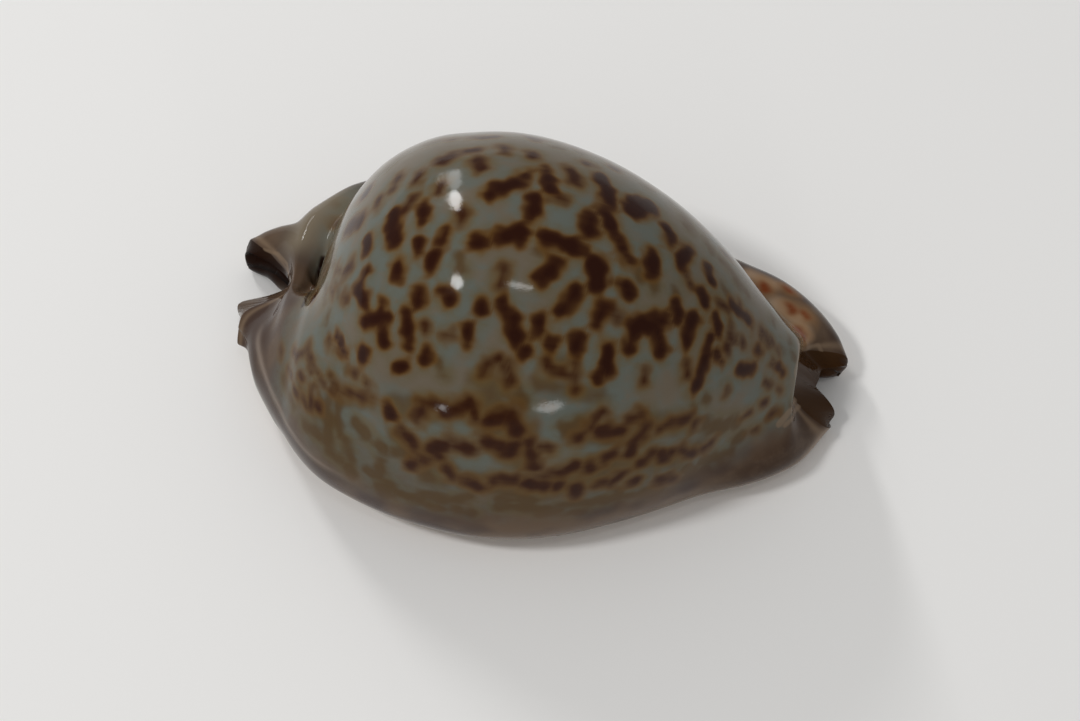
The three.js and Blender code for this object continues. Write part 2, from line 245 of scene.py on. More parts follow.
def near_line(x, y, start, end, width, **_):
    along_x, along_y = end[0] - start[0], end[1] - start[1]
    share = ((x - start[0]) * along_x + (y - start[1]) * along_y) / (along_x**2 + along_y**2)
    t = np.clip(share, 0, 1)
    return bell(np.hypot(x - start[0] - t * along_x, y - start[1] - t * along_y), width)


def to_ellipse(dy, dz, from_y, from_z, half_width, half_height):
    a = (dy / half_width) ** 2 + (dz / half_height) ** 2
    b = dy * from_y / half_width**2 + dz * from_z / half_height**2
    c = (from_y / half_width) ** 2 + (from_z / half_height) ** 2 - 1
    return np.maximum((-b + np.sqrt(np.maximum(b * b - a * c, 0))) / a, 0)


def tip_inset(x):
    """How much the rims are thinned all round at x, so that the tips are rounded off."""
    into = np.maximum(REAR + TIP_ROUNDING - x, x - FRONT + TIP_ROUNDING) / TIP_ROUNDING
    return TIP_INSET * (1 - np.sqrt(1 - np.clip(into, 0, 1) ** 2))


def outer_reach(x, angle):
    """From the middle of the section at x to the outside. 0 is towards the near margin,
    90 degrees straight up and 180 towards the far margin."""
    dy, dz = -np.cos(angle), np.sin(angle)
    middle, keel = aperture_line(x), keel_height(x)
    half_width = np.where(dy < 0, middle - flange_near(x), flange_far(x) - middle)
    far_share = step(-0.85, -0.05, dy)
    top = mix(flange_top_near(x), flange_top_far(x), far_share) - keel
    power = mix(2.1, 2.6, far_share)
    across = np.abs(dy) / half_width
    over = (across**power + (np.abs(dz) / top) ** power + 1e-9) ** (-1 / power)
    under = (across**2.2 + (np.abs(dz) / (keel * 1.35)) ** 2.2 + 1e-9) ** (-1 / 2.2)
    flange = np.where(dz > 0, over, under)
    body_y = (body_near(x) + body_far(x)) / 2
    body_half = (body_far(x) - body_near(x)) / 2
    body_top = np.maximum(back_height(x) - body_middle(x), 0.5)
    body = to_ellipse(dy, dz, middle - body_y, keel - body_middle(x), body_half, body_top)
    near_side = 1 - step(-0.6, 0.1, dy)
    rear_near = 0.8 * (1 - step(4, 15, x)) + 4.5 * (1 - step(-22, -12, x))
    upper = blend(body, flange, 2.4 + near_side * rear_near)
    reach = mix(flange, upper, step(-0.7, 0.15, dz))
    for mark in SPIRE_MARKS:
        reach = reach + np.where(dz > 0, mark["rise"], 0) * near_line(x, middle + reach * dy, **mark)
    to_floor = (keel - tip_inset(x)) / np.maximum(-dz, -STRAIGHT_DOWN)
    base = np.where(dz < STRAIGHT_DOWN, to_floor, NEVER)
    return -blend(tip_inset(x) - reach, -base, BASE_EDGE)


def drawn_back(x, y, z, notch, part):
    """How far a point of a rim is drawn back from the tip of the lobes, for the notch."""
    t = np.clip((x - notch["start"]) / (notch["tip"] - notch["start"]), 0, 1)
    share = np.where(t < 0.3, t * t / 0.6, t - 0.15) / 0.85
    across, up = y - aperture_line(x), z - CANAL_HEART
    off = np.degrees(np.arctan2(up, across)) - DEEPEST
    turn = np.where(off < -180, off + 360, off)
    spread = np.where(turn > 0, notch["near"][0], notch["far"][0])
    power = np.where(turn > 0, notch["near"][1], notch["far"][1])
    foremost = np.where(across < 0, notch["near"][2], notch["far"][2])
    level = np.degrees(np.arctan2(up, np.abs(across))) - foremost
    arc = np.sign(notch[part]) * LOBE_ARC * np.minimum(np.abs(level) / 50, 1.1) ** 2
    return share * (notch[part] * np.exp(-(np.abs(turn / spread) ** power)) + arc)


def placed(x, y, z, part):
    """Points of a section, moved along the shell where the notches and lobes want it."""
    off_line = y - aperture_line(x)
    near_side = mix(step(0, -2.5, off_line), step(-3, -6, off_line), 0.45)
    lobes = NEAR_LOBE_REAR * step(-28, REAR, x) + NEAR_LOBE_FRONT * step(26, FRONT, x)
    notches = drawn_back(x, y, z, REAR_NOTCH, part) + drawn_back(x, y, z, FRONT_NOTCH, part)
    return np.stack(np.broadcast_arrays(x + notches + lobes * near_side, y, z), -1)


ease = np.sin(np.arange(END_STATIONS + 1) / END_STATIONS * math.pi / 2)
stations = np.concatenate(
    [
        mix(TEETH_REAR, REAR, ease[:0:-1]),
        np.linspace(TEETH_REAR, TEETH_FRONT, TEETH * STATIONS_PER_TOOTH + 1),
        mix(TEETH_FRONT, FRONT, ease[1:]),
    ]
)[:, None]
middle, keel = aperture_line(stations), keel_height(stations)
half = aperture_width(stations) / 2
near_radius = np.minimum(LIP_RADIUS, 0.45 * (middle - half - flange_near(stations)))
far_radius = np.minimum(LIP_RADIUS, 0.45 * (flange_far(stations) - middle - half))

# The outside, with the direction in which a furrow between two teeth sinks into it.
drop = keel - tip_inset(stations)
first = -np.arctan2(drop, half + near_radius)
last = math.pi + np.arctan2(drop, half + far_radius)
angle = mix(first, last, np.linspace(0, 1, OUTER_POINTS)[None, :])
reach = outer_reach(stations, angle)
dy, dz = -np.cos(angle), np.sin(angle)
outer = placed(stations, middle + reach * dy, keel + reach * dz, "rim")
from_lip = np.abs(keel / np.maximum(-dz, -STRAIGHT_DOWN) * dy) - half - LIP_RADIUS
fading = np.where(dz < -0.1, 1 - step(0, FURROW_LENGTH, from_lip), 0) / np.maximum(-dz, 0.1)
outer_sink = np.stack([np.zeros_like(dy), -dy * fading, -dz * fading], -1)
outer_rise = np.zeros_like(outer_sink)


def lip_edge(side, radius):
    """The rounded edge of one lip, with how a tooth raises and a furrow sinks it."""
    turn = np.radians(mix(-90, 80, np.arange(1, LIP_POINTS + 1) / (LIP_POINTS + 1)))[None, :]
    turn = turn + 0 * stations
    edge = middle + side * (half + radius)
    r = radius - tip_inset(stations)
    edge_y, edge_z = -side * np.cos(turn), np.sin(turn)
    points = placed(stations, edge + r * edge_y, radius + r * edge_z, "roof")
    outward = np.stack([np.zeros_like(turn), edge_y, edge_z], -1)
    rise = outward * bell(turn - math.radians(10), math.radians(55))[..., None]
    sink = -outward * (1 - step(-60, 0, np.degrees(turn)))[..., None]
    return points, rise, sink


# The wall of the hollow, from the far lip over the roof to the near lip.
share = np.linspace(0, 1, INNER_POINTS)[None, :]
hollow = step(-27.5, -18, stations) * (1 - step(20, 28, stations))
foot = 1.7 * mix(far_radius, near_radius, share)
roof = canal_roof(stations) + tip_inset(stations)
bulge = canal_bulge(stations) * np.abs(np.sin(share * math.pi)) ** 0.7
canal_y = middle + (half + tip_inset(stations) + bulge) * np.cos(share * math.pi)
canal_z = foot + np.maximum(roof - foot, 0.3) * np.abs(np.sin(share * math.pi)) ** 0.8
dip = np.arctan2(keel - BASE_FLOOR, half)
inner_angle = mix(math.pi + dip, -dip, share)
wall = WALL + CALLUS * (1 - step(-0.2, 0.5, np.sin(inner_angle)))
sine = np.sin(inner_angle)
to_hollow_floor = (keel - BASE_FLOOR) / np.maximum(-sine, -STRAIGHT_DOWN)
floor_reach = np.where(sine < STRAIGHT_DOWN, to_hollow_floor, NEVER)
inner_reach = np.maximum(outer_reach(stations, inner_angle) - wall, half)
inner_reach = -blend(-inner_reach, -floor_reach, 0.8)
inner_y = mix(canal_y, middle - inner_reach * np.cos(inner_angle), hollow)
inner_z = mix(canal_z, keel + inner_reach * sine, hollow)
inner = placed(stations, inner_y, inner_z, "roof")

far_lip, far_rise, far_sink = lip_edge(1, far_radius)
near_lip, near_rise, near_sink = lip_edge(-1, near_radius)
still = np.zeros_like(inner)
wall_points = np.concatenate([outer, far_lip, inner, near_lip[:, ::-1]], 1)
tooth_rise = np.concatenate([outer_rise, far_rise, still, near_rise[:, ::-1]], 1)
furrow_sink = np.concatenate([outer_sink, far_sink, still, near_sink[:, ::-1]], 1)
sections, per_section = wall_points.shape[:2]


def shell_faces():
    """Quads along the wall, and a band that closes each end. They face outwards."""
    i, j = np.meshgrid(np.arange(sections - 1), np.arange(per_section), indexing="ij")
    k = (j + 1) % per_section
    corners = [i * per_section + j, (i + 1) * per_section + j]
    corners += [(i + 1) * per_section + k, i * per_section + k]
    faces = np.stack(corners, -1).reshape(-1, 4).tolist()
    outer_line = list(range(OUTER_POINTS))
    rest_line = [per_section - 1 - n for n in range(per_section - OUTER_POINTS)]
    last_rest = len(rest_line) - 1

    def outer_key(n):
        return n / (OUTER_POINTS - 1)

    def rest_key(n):
        if n < LIP_POINTS:
            return LIP_SHARE * n / LIP_POINTS
        if n > last_rest - LIP_POINTS:
            return 1 - LIP_SHARE * (last_rest - n) / LIP_POINTS
        return mix(LIP_SHARE, 1 - LIP_SHARE, (n - LIP_POINTS) / (INNER_POINTS - 1))

    ends = [
        (0, rest_line, rest_key, outer_line, outer_key),
        (sections - 1, outer_line, outer_key, rest_line, rest_key),
    ]
    for at, line_a, key_a, line_b, key_b in ends:
        a = b = 0
        while a < len(line_a) - 1 or b < len(line_b) - 1:
            next_a = key_a(a + 1) if a < len(line_a) - 1 else math.inf
            next_b = key_b(b + 1) if b < len(line_b) - 1 else math.inf
            start = at * per_section
            if next_a <= next_b:
                faces.append([start + line_a[a], start + line_b[b], start + line_a[a + 1]])
                a += 1
            else:
                faces.append([start + line_a[a], start + line_b[b], start + line_b[b + 1]])
                b += 1
    return faces


# The shell is laid over its CAD solid: same middle, same resting plane.
solid_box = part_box("shell")
solid_middle = (np.array(solid_box[0]) + np.array(solid_box[1])) / 2
low, high = wall_points.reshape(-1, 3).min(0), wall_points.reshape(-1, 3).max(0)
shift = solid_middle / MM - (low + high) / 2
shift[2] = solid_box[0][2] / MM - low[2]
points = wall_points.reshape(-1, 3) + shift
shell_mesh = bpy.data.meshes.new("shell_wall")
shell_mesh.from_pydata((points * MM).tolist(), [], shell_faces())
shell_mesh.update()
shell_mesh.polygons.foreach_set("use_smooth", np.ones(len(shell_mesh.polygons), bool))


def everywhere(values):
    return np.broadcast_to(values, (sections, per_section))


def keep_attribute(name, values, kind="FLOAT"):
    attribute = shell_mesh.attributes.new(name, kind, "POINT")
    field = "vector" if kind == "FLOAT_VECTOR" else "value"
    attribute.data.foreach_set(field, np.asarray(values, np.float32).ravel())


keep_attribute("station", everywhere(stations) * MM)
keep_attribute("tooth_rise", tooth_rise, "FLOAT_VECTOR")
keep_attribute("furrow_sink", furrow_sink, "FLOAT_VECTOR")

# The spots lie in the glaze: dark brown cores with ochre rims, some run together. Each
# is a stroke between two places in the photo with a half width, all in photo pixels and
# read off. The far side, which the photo hides, gets a scatter of the same sort.
DARK_STROKES = [
    (491, 194, 500, 189, 8), (501, 188, 519, 182, 9.5), (518, 178, 529, 173, 4.5),
    (395, 216, 392, 226, 7.5), (391, 228, 395, 240, 8.5), (423, 206, 423, 219, 6.5),
    (419, 243, 418, 251, 6), (446, 232, 442, 242, 5.5), (434, 255, 430, 265, 6.5),
    (474, 242, 480, 242, 8), (506, 236, 521, 234, 12), (398, 264, 398, 275, 7), (368, 240, 366, 249, 5.5),
    (368, 270, 358, 289, 5), (358, 290, 365, 302, 6), (419, 292, 419, 302, 7.5),
    (443, 293, 450, 300, 7.5), (482, 303, 482, 312, 6.5), (502, 304, 507, 313, 8),
    (366, 320, 384, 318, 7.5), (381, 306, 384, 336, 6), (406, 312, 409, 326, 6.5),
    (514, 320, 516, 340, 8.5), (546, 170, 551, 190, 6), (535, 198, 533, 215, 8),
    (601, 177, 609, 200, 6.5), (606, 213, 612, 226, 8), (614, 232, 629, 260, 6.5),
    (633, 208, 648, 206, 12), (591, 220, 590, 232, 10), (546, 238, 562, 243, 10),
    (562, 243, 580, 250, 10), (557, 263, 541, 280, 9), (597, 265, 598, 281, 12.5),
    (577, 291, 562, 310, 7.5), (625, 286, 628, 291, 8.5), (652, 257, 653, 270, 8.5),
    (667, 228, 671, 241, 6), (688, 249, 680, 263, 6), (709, 269, 711, 281, 5), (702, 292, 705, 304, 6.5),
    (676, 306, 679, 318, 7), (688, 330, 694, 320, 9), (597, 323, 603, 310, 8), (636, 326, 662, 322, 11),
    (540, 322, 541, 330, 8.5), (634, 330, 629, 348, 7.5), (657, 328, 662, 352, 7),
    (688, 328, 686, 342, 7), (576, 348, 578, 340, 8), (608, 347, 607, 372, 7.5),
    (607, 370, 597, 376, 6.5), (741, 369, 751, 368, 6), (710, 338, 708, 352, 6),
    (705, 358, 701, 374, 5.5), (700, 378, 693, 390, 5), (716, 350, 722, 361, 4.5),
    (733, 305, 748, 320, 5), (715, 318, 718, 333, 5), (758, 350, 760, 353, 3.8),
    (779, 368, 783, 372, 3.5), (407, 332, 410, 345, 6.5), (467, 328, 468, 342, 6.5),
    (427, 350, 424, 360, 6), (380, 330, 385, 341, 6.5), (363, 352, 363, 358, 6.5),
    (337, 337, 341, 346, 4.5), (343, 350, 346, 354, 4.8), (387, 408, 393, 416, 4.5),
    (400, 368, 404, 366, 6.5), (526, 351, 526, 352, 7), (548, 343, 554, 346, 6.5),
]
BROWN_STROKES = [
    (745, 369, 752, 370, 4), (760, 335, 761, 337, 3), (772, 339, 773, 342, 3), (777, 350, 778, 353, 3),
    (772, 364, 774, 367, 3), (782, 371, 783, 374, 3), (755, 347, 756, 351, 3), (735, 340, 737, 344, 3),
    (730, 318, 731, 323, 3), (717, 324, 718, 329, 3), (740, 305, 741, 309, 3), (762, 404, 766, 402, 3),
    (772, 414, 776, 411, 3), (745, 416, 750, 413, 3), (752, 431, 757, 428, 3), (766, 381, 768, 383, 3),
    (779, 389, 781, 391, 3), (337, 268, 340, 272, 3), (350, 263, 352, 267, 3), (331, 289, 333, 293, 3),
    (344, 296, 346, 300, 3), (329, 338, 330, 342, 3), (336, 346, 338, 350, 3), (345, 354, 347, 357, 3),
    (361, 354, 364, 356, 4), (280, 349, 281, 352, 3), (294, 351, 295, 355, 3), (306, 354, 308, 357, 3),
    (289, 369, 291, 374, 3), (300, 374, 302, 378, 3), (309, 368, 311, 373, 3), (294, 388, 296, 394, 3),
    (304, 399, 306, 405, 3), (321, 379, 324, 383, 3), (332, 389, 335, 393, 3), (317, 404, 319, 409, 3),
    (468, 151, 478, 150, 4), (503, 147, 505, 151, 4.5), (533, 153, 533, 157, 5), (586, 163, 591, 164, 4),
    (443, 160, 453, 156, 8), (476, 160, 482, 168, 6.5), (420, 172, 416, 182, 4.5),
    (399, 177, 394, 188, 4.5), (380, 198, 377, 207, 4), (441, 184, 438, 192, 5),
    (463, 212, 460, 222, 6.5), (349, 227, 361, 220, 7), (412, 199, 402, 212, 6.5),
    (352, 263, 343, 274, 4.5), (571, 171, 576, 182, 6.5), (548, 198, 563, 198, 6),
    (504, 268, 499, 286, 5.5), (603, 308, 618, 315, 8.5), (720, 302, 729, 311, 5),
    (685, 272, 690, 284, 5), (687, 365, 687, 376, 5), (644, 368, 644, 381, 4), (546, 360, 547, 368, 5),
    (548, 368, 572, 374, 5.5), (574, 362, 576, 390, 5), (508, 362, 511, 380, 5),
    (445, 335, 453, 334, 5.5), (424, 326, 425, 330, 6), (482, 375, 488, 366, 5), (488, 363, 500, 358, 5),
    (503, 364, 508, 385, 5), (340, 393, 372, 398, 4.5), (330, 378, 338, 391, 3.8),
    (366, 384, 368, 388, 5), (313, 386, 310, 406, 3.6), (297, 357, 307, 350, 4),
    (310, 358, 318, 372, 2.6), (354, 372, 354, 376, 4.5), (402, 430, 412, 443, 6),
    (416, 420, 423, 409, 6), (424, 405, 445, 406, 6.5), (445, 412, 468, 406, 7.5),
    (470, 400, 475, 418, 5.5), (432, 448, 450, 443, 6.5), (450, 443, 470, 450, 6.5),
    (490, 421, 512, 413, 8), (508, 415, 516, 430, 9.5), (515, 445, 510, 454, 8), (528, 442, 535, 468, 6),
    (410, 465, 417, 462, 5.5), (420, 460, 440, 458, 4.5), (445, 465, 450, 477, 4.5),
    (468, 480, 480, 487, 6.5), (495, 480, 514, 480, 6.5), (603, 412, 590, 428, 5.5),
    (590, 428, 577, 440, 5), (600, 430, 622, 432, 7), (628, 420, 640, 414, 4.8), (646, 428, 636, 440, 6),
    (634, 445, 628, 455, 6), (615, 452, 604, 460, 5), (660, 428, 672, 422, 5), (672, 422, 688, 419, 6),
    (694, 423, 694, 427, 4.6), (650, 455, 642, 462, 5.5), (661, 456, 663, 459, 5.5),
    (672, 452, 680, 448, 4), (660, 480, 672, 480, 5), (588, 466, 590, 468, 6), (576, 465, 560, 472, 5.5),
    (560, 472, 530, 480, 6), (596, 485, 607, 482, 5), (612, 482, 622, 474, 5.5), (630, 482, 634, 481, 6),
    (575, 488, 575, 493, 7.5), (558, 485, 554, 489, 5.5), (680, 450, 693, 455, 4.5),
    (705, 447, 711, 443, 4.5), (729, 335, 733, 342, 4), (742, 343, 743, 347, 4), (752, 328, 752, 334, 3),
    (762, 330, 769, 343, 3.2), (768, 384, 769, 386, 3.6), (726, 388, 726, 391, 3.8),
    (773, 358, 777, 366, 3), (797, 425, 798, 427, 4), (540, 447, 550, 450, 4.8),
    (728, 348, 729, 353, 5.5), (528, 484, 545, 487, 7.5), (456, 409, 462, 411, 6),
    (484, 440, 500, 446, 7),
]
FAINT_STROKES = [
    (318, 395, 326, 410, 4), (306, 425, 318, 436, 4), (345, 440, 352, 462, 4), (368, 470, 392, 484, 4),
    (330, 452, 342, 462, 4), (395, 492, 420, 500, 4), (430, 505, 470, 512, 4), (500, 505, 560, 510, 5),
    (600, 500, 650, 492, 4), (660, 484, 700, 474, 4), (700, 462, 730, 452, 3.5), (712, 430, 730, 420, 4),
    (556, 147, 562, 149, 3.5), (376, 177, 388, 168, 2.4), (685, 215, 690, 228, 4.5),
    (706, 238, 711, 250, 3.4), (721, 260, 732, 272, 4), (735, 278, 746, 292, 3.6),
    (723, 288, 727, 295, 3.5), (459, 258, 461, 271, 5), (333, 252, 333, 266, 2.5),
    (335, 282, 338, 295, 3.5), (326, 285, 325, 300, 2.4), (344, 296, 346, 298, 3.8),
    (328, 315, 328, 335, 2.6), (675, 290, 676, 294, 5.5), (638, 266, 640, 278, 5),
    (654, 282, 655, 287, 5), (488, 235, 498, 232, 3.4), (539, 250, 541, 252, 6),
    (438, 362, 444, 375, 3.6), (520, 390, 525, 405, 4), (326, 326, 329, 335, 3), (328, 400, 328, 442, 5),
    (338, 400, 340, 436, 3.5), (285, 378, 286, 384, 4.5), (298, 378, 300, 386, 3),
    (290, 396, 292, 402, 4), (348, 366, 349, 369, 4), (356, 424, 366, 433, 5.5), (379, 446, 382, 449, 6),
    (382, 462, 380, 478, 4.6), (348, 467, 350, 474, 5.5), (428, 475, 426, 480, 5.5),
    (425, 495, 445, 500, 5), (383, 488, 387, 494, 6.5), (486, 430, 500, 428, 6.5),
    (565, 428, 584, 425, 5.5), (645, 413, 646, 417, 3.6), (706, 424, 725, 426, 5.5),
    (735, 420, 737, 425, 3.6), (645, 493, 660, 490, 6), (686, 468, 692, 472, 5.5),
    (703, 471, 706, 476, 5.5), (618, 490, 620, 505, 4), (560, 505, 605, 500, 4.6),
    (540, 515, 582, 512, 3.6), (704, 399, 706, 401, 2.8), (692, 408, 694, 410, 2.2),
    (769, 417, 780, 412, 3.6), (735, 440, 741, 436, 4.5), (715, 455, 722, 462, 4.5),
    (773, 317, 773, 321, 2.4), (790, 338, 791, 343, 2.4), (781, 346, 784, 353, 2.5),
    (792, 352, 796, 358, 2.5), (791, 406, 793, 408, 2.4), (783, 286, 790, 289, 2.5),
    (395, 452, 405, 456, 5), (331, 203, 337, 206, 3.6), (450, 500, 470, 497, 5), (500, 500, 530, 500, 5),
    (610, 440, 618, 443, 4.5),
]
ORANGE_STROKES = [
    (763, 285, 765, 289, 4), (790, 306, 793, 311, 4.4), (783, 316, 784, 320, 3),
    (799, 330, 803, 336, 3.6), (803, 313, 807, 318, 2.4), (787, 288, 790, 291, 2.2),
]
# Lines and soft washes, read off the same way: pale rims, partly painted highlight;
# slots painted black as shade; brown washes at the ends, partly painted shade; cream
# washes; and the brown haze that ties the spots of the lower band together.
# Pale rim lines: partly the rims' paler callus, partly painted highlight on their rounded edges.
RIM_AND_HIGHLIGHT_STROKES = [
    (818, 345, 810, 347, 1.2), (810, 347, 804, 354, 1.4), (804, 354, 801, 370, 1.4),
    (801, 370, 801, 395, 1.3), (801, 395, 799, 406, 1.3), (799, 406, 793, 416, 1.2),
    (793, 416, 785, 425, 1), (819, 346, 822, 353, 1.1), (799, 342, 796, 372, 2.6),
    (796, 372, 795, 398, 2.6), (795, 398, 789, 412, 2.4), (789, 412, 779, 424, 2),
    (264, 250, 278, 254, 1), (278, 254, 287, 264, 1.1), (287, 264, 289, 280, 1.1),
    (237, 306, 246, 303, 1.2),
]
# Painted shade: the slot at the spire's foot and the rear canal's mouth are painted black.
SLOT_SHADE_STROKES = [
    (323, 259, 318, 276, 3.2), (316, 280, 309, 294, 1.5), (309, 294, 303, 306, 1.2),
    (258, 258, 272, 266, 4.5), (272, 266, 282, 276, 4.5),
]
# Umber washes on the canal walls: partly the shell's brown there, partly painted shade.
UMBER_AND_SHADE_STROKES = [
    (811, 356, 810, 378, 6), (810, 378, 810, 402, 6), (808, 412, 822, 424, 6), (830, 318, 840, 340, 4),
    (840, 340, 844, 366, 5), (248, 240, 262, 234, 4),
]
HAZE_STROKES = [
    (400, 408, 470, 410, 9), (490, 405, 520, 430, 13), (500, 440, 520, 458, 12), (420, 450, 450, 470, 8),
    (400, 440, 440, 480, 7), (470, 482, 560, 488, 10), (560, 482, 600, 478, 9), (578, 430, 640, 435, 11),
    (640, 422, 690, 422, 8), (590, 464, 700, 448, 8), (480, 380, 520, 400, 9), (340, 395, 370, 400, 7),
    (300, 390, 330, 420, 7), (540, 384, 600, 396, 7), (548, 356, 572, 366, 6),
]
CREAM_STROKES = [
    (762, 296, 778, 302, 10), (778, 304, 796, 318, 9), (796, 320, 806, 334, 7), (750, 274, 772, 284, 7),
]
LOWER_BAND = 398  # below this row the spots are blurred and broader
BAND_BREADTH = 1.12
SPOT_BREADTH = 0.86
LEAST_FACING = 0.35
FAR_AWAY = 9.0  # mm, the distance kept where no stroke is near
STROKE_REACH = 8  # mm, how far from a stroke distances are worked out
JUMP = 2  # mm; a stroke that comes out this much longer fell off an edge
JUMP_FACTOR = 2.5
BARE_FROM = 1.5  # mm from the nearest stroke
HIDDEN_SPOTS = 170
SPOT_SEED = 11
SPOT_GAP = 0.6  # mm, between two hidden spots
SPOT_SIZES = (0.35, 0.95)  # mm, the smallest and largest half width
SPOT_LENGTH = 0.7  # mm, how far a hidden spot is drawn out, as a spread
SPOTS_FROM = 8.5  # mm above the floor
SPOTS_UP_TO = 27  # mm from the middle of the length
HIDDEN_BELOW = 0.3  # how squarely a place may face the eye and still count as hidden
DARK_SHARE = 0.55
BROWN_SHARE = 0.95  # dark and brown spots together
PALER = 0.35  # what the draw of a spot's kind gains low down or towards the eye
PALER_BELOW = 14  # mm
PALER_FACING = 0.12

wall_tree = BVHTree.FromPolygons((points * MM).tolist(), [list(p.vertices) for p in shell_mesh.polygons])
eye = camera_place * MM


def on_shell(x, y):
    """The place on the shell that shows at a pixel, in mm, and how squarely it faces the eye."""
    ray = pixel_ray(x, y)
    hit, normal = wall_tree.ray_cast(eye, ray)[:2]
    return (None, 0) if hit is None else (np.array(hit) / MM, abs(normal.dot(ray)))


def stroke_distance(strokes):
    """How far every point of the wall is outside the nearest stroke, in mm."""
    distance = np.full(len(points), FAR_AWAY)
    for start, end, half_width in strokes:
        along = end - start
        length = max(float(along @ along), 1e-9)
        off_centre = np.abs(points - (start + end) / 2).max(1)
        near = np.nonzero(off_centre < STROKE_REACH + math.sqrt(length))[0]
        t = np.clip((points[near] - start) @ along / length, 0, 1)
        away = np.linalg.norm(points[near] - start - t[:, None] * along, axis=1) - half_width
        distance[near] = np.minimum(distance[near], away)
    return distance


def read_strokes(rows):
    strokes = []
    for x0, y0, x1, y1, half_width in rows:
        (start, facing), (end, _) = on_shell(x0, y0), on_shell(x1, y1)
        if start is None or end is None:
            continue
        drawn_length = math.hypot(x1 - x0, y1 - y0) / PIXELS_PER_MM
        if np.linalg.norm(end - start) > JUMP + JUMP_FACTOR * drawn_length:
            continue
        breadth = BAND_BREADTH if y0 > LOWER_BAND else SPOT_BREADTH
        size = breadth * half_width / PIXELS_PER_MM / math.sqrt(max(facing, LEAST_FACING))
        strokes.append((start, end, size))
    return strokes


grid = points.reshape(sections, per_section, 3)
along_shell = np.gradient(grid, axis=0)
around_shell = np.roll(grid, -1, 1) - np.roll(grid, 1, 1)
normals = np.cross(along_shell, around_shell).reshape(-1, 3)
normals /= np.linalg.norm(normals, axis=1, keepdims=True) + 1e-12
is_outer = np.zeros((sections, per_section), bool)
is_outer[:, :OUTER_POINTS] = True
is_outer = is_outer.ravel()
if (normals[is_outer & (points[:, 2] > 25)] @ np.array((0, 0, 1))).mean() < 0:
    normals = -normals
seen = normals @ np.array(camera_back)

drawn = [read_strokes(rows) for rows in (DARK_STROKES, BROWN_STROKES, FAINT_STROKES)]
bare = stroke_distance(sum(drawn, [])) > BARE_FROM
chance = np.random.default_rng(SPOT_SEED)
hidden = is_outer & bare & (seen < HIDDEN_BELOW)
hidden &= (points[:, 2] > SPOTS_FROM) & (np.abs(points[:, 0]) < SPOTS_UP_TO)
taken = []
for pick in chance.permutation(np.nonzero(hidden)[0]):
    place = points[pick]
    size = chance.uniform(*SPOT_SIZES)
    if any(np.linalg.norm(place - other) < size + far + SPOT_GAP for other, far in taken):
        continue
    taken.append((place, size))
    end = place + np.array((chance.normal(0, SPOT_LENGTH), 0, chance.normal(0, SPOT_LENGTH)))
    paler = PALER if place[2] < PALER_BELOW or seen[pick] > PALER_FACING else 0
    kind = chance.random() + paler
    drawn[0 if kind < DARK_SHARE else 1 if kind < BROWN_SHARE else 2].append((place, end, size))
    if len(taken) == HIDDEN_SPOTS:
        break
for name, strokes in zip(("dark_spots", "brown_spots", "faint_spots"), drawn):
    keep_attribute(name, stroke_distance(strokes))
for name, rows in [
    ("orange_spots", ORANGE_STROKES),
    ("rim_strokes_and_highlights", RIM_AND_HIGHLIGHT_STROKES),
    ("slot_shade", SLOT_SHADE_STROKES),
    ("umber_washes_and_shade", UMBER_AND_SHADE_STROKES),
    ("cream_washes", CREAM_STROKES),
    ("haze", HAZE_STROKES),
]:
    keep_attribute(name, stroke_distance(read_strokes(rows)))

# Over the spots the animal laid a flesh-coloured film: thick on the margins, at the ends
# and on the base, and thinning up the sides. film is 1 where nothing shows through it.
# Each zone of colour fades between two places, in mm along, across or above the base.
NEAR_FILM_ABOVE = (4.6, 12.5)
FAR_FILM_ABOVE = (5.5, 9.5)
NEAR_TO_FAR_ACROSS = (-4, 6)
REAR_FILM_ALONG = (-25.5, -22.5)
REAR_FILM_ABOVE = (11, 15)
REAR_FILM_BEND = 0.12
REAR_FILM_MIDDLE = 3
VEIL_ABOVE = (9, 17)
VEIL_ALONG = (12, 24)
UNDERSIDE_ABOVE = (1.2, 3.6)
FROM_SLOT = (3.2, 6.4)
CREST_ACROSS = (2, 12)
CREST_ABOVE = (15, 24)
FRONT_CAVITY_ALONG = (20, 25)
LIP_SHADE = (0.55, 0.95)  # share of the way over a lip
LIPS_FROM_TIP = (3, 7)  # nearer the tips the whole lip is as dark as the canal
REAR_END_ACROSS = (1, 2.5)
NEAR_TIP_ALONG = (3, 5)  # from the rear tip
NEAR_TIP_ACROSS = (0, 1.2)  # from the aperture
NEAR_TIP_PALER = 0.9
BROWN_REAR = 0.5
BROWN_LOBE = 0.6
BROWN_EDGE = 0.5
BROWN_NEAR = dict(along=(15, 23), across=(0, 2.5), above=(5.5, 8))
FRONT_LOBE = dict(along=(25, 27.5), across=(5.5, 7.5))
FRONT_EDGE = dict(along=(17, 22), inward=(0.8, 2.8))
RIM_LINE_IN = 0.45
RIM_LINE_WIDTH = 0.28
LIP_TINT = 0.75
KEEL = dict(rear=(-31, -29.5), front=(-22, -14), across=(-4, 0))
KEEL_HIGHLIGHT_ABOVE = 8.3
KEEL_HIGHLIGHT_WIDTH = 0.35
SHADE_UNDER_KEEL_ABOVE = (7.0, 7.9)
SPIRE_PATCH = dict(start=(-26.4, 9.5), end=(-25.4, 15.5), width=2.3)
SPIRE_PATCH_ABOVE = (4, 8)

